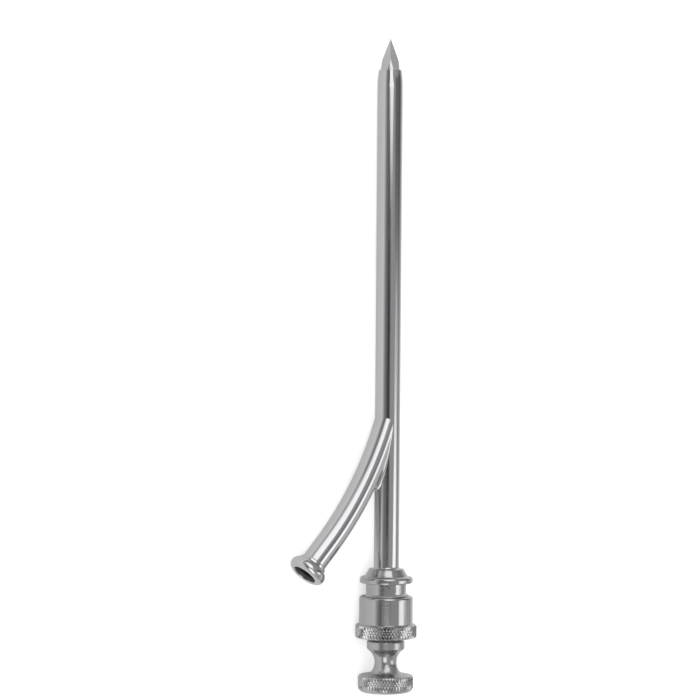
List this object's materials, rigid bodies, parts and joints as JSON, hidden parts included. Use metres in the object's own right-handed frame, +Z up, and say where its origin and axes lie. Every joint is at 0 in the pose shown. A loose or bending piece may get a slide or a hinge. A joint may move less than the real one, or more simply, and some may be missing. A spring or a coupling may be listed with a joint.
{
  "type": "surgical trocar",
  "caption": "Straight metal cannula with a curved side arm and hose bead, a knurled packing gland, and a sliding stylet with a three-sided point and a spool-shaped knob.",
  "frame": {"origin": "middle of the footprint's box, on the table that the instrument lies on", "axes": "+Z up from the table, the point towards -X, the knob towards +X, the side arm out towards -Y and back towards +X; the cannula leans 2 degrees point-down because it rests on the nut's rim and its own shoulder"},
  "size_m": [0.2068, 0.0442, 0.0197],
  "materials": {
    "tube_steel": "finely brushed and polished stainless tube",
    "turned_steel": "polished turned stainless steel",
    "knurled_steel": "polished barrel with a diamond-knurled rim",
    "stylet_steel": "ground stainless rod",
    "braze": "polished silver braze",
    "packing": "white fluoropolymer packing"
  },
  "bodies": {
    "cannula": {"cannula_tube": "tube_steel", "side_arm": "tube_steel", "saddle_braze": "braze", "hose_bead": "turned_steel", "bead_braze": "braze", "hub": "turned_steel", "hub_braze": "braze", "seat_washer": "turned_steel", "packing_ring_1": "packing", "packing_ring_2": "packing"},
    "follower": {"gland_follower": "turned_steel"},
    "nut": {"gland_nut": "knurled_steel"},
    "rod_packing": {"packing_ring_3": "packing"},
    "stylet": {"stylet_rod": "stylet_steel", "stylet_knob": "knurled_steel"}
  },
  "joints": [
    {"name": "follower_travel", "type": "slide", "parent": "cannula", "child": "follower", "axis": [0.9994, 0, 0.0341], "range_m": [0, 0.006]},
    {"name": "gland_nut_turn", "type": "hinge", "parent": "follower", "child": "nut", "pos_m": [0.07284, 0.01234, 0.00947], "axis": [0.9994, 0, 0.0341], "range_deg": [0, 2161]},
    {"name": "stylet_twist", "type": "hinge", "parent": "follower", "child": "rod_packing", "pos_m": [0.08693, 0.01234, 0.00996], "axis": [0.9994, 0, 0.0341], "continuous": true},
    {"name": "stylet_slide", "type": "slide", "parent": "rod_packing", "child": "stylet", "axis": [0.9994, 0, 0.0341], "range_m": [0, 0.1901]}
  ],
  "couplings": [
    {"joint": "gland_nut_turn", "follows": "follower_travel", "rad_per_m": 6283.2}
  ]
}
